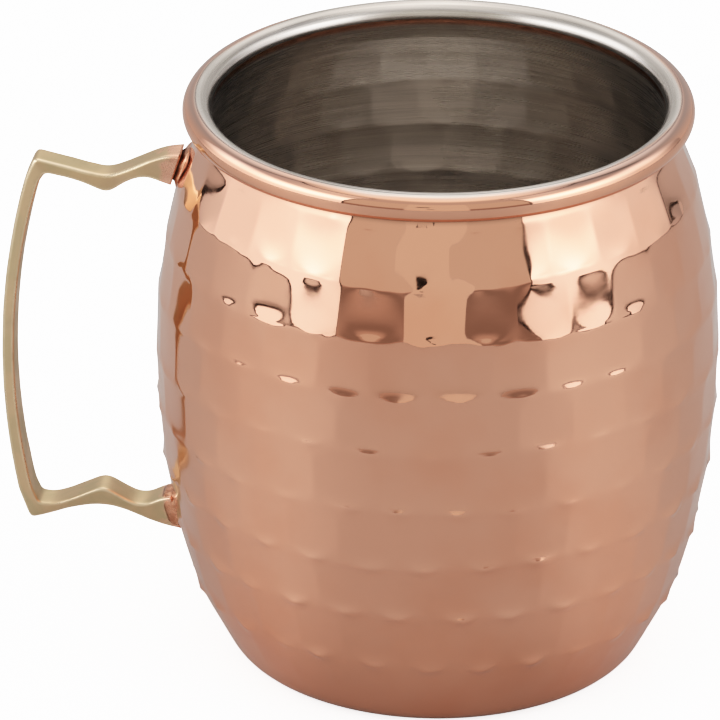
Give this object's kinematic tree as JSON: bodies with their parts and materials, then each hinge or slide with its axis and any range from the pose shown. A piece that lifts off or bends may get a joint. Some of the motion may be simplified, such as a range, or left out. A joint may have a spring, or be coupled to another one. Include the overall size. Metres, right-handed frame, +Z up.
{
  "type": "hammered copper mug",
  "caption": "Barrel-shaped drinking mug with a hammered copper outside, a rolled rim, a brushed steel inside and an angular brass side handle.",
  "frame": {"origin": "centre of the flat base, on the mug's axis", "axes": "+Z up along the mug's axis, -X towards the handle, +Y to the mug's side"},
  "size_m": [0.1241, 0.0968, 0.102],
  "materials": {
    "copper": "polished hammered copper, mirror bright",
    "steel": "stainless steel brushed round the axis, over the backs of the hammer marks",
    "brass": "cast brass, tumbled sides and rubbed bright edges",
    "braze": "copper-coloured brazing filler, satin"
  },
  "bodies": {
    "root": {"copper_shell": "copper", "steel_liner": "steel", "handle": "brass", "upper_braze": "braze", "lower_braze": "braze"}
  },
  "joints": []
}
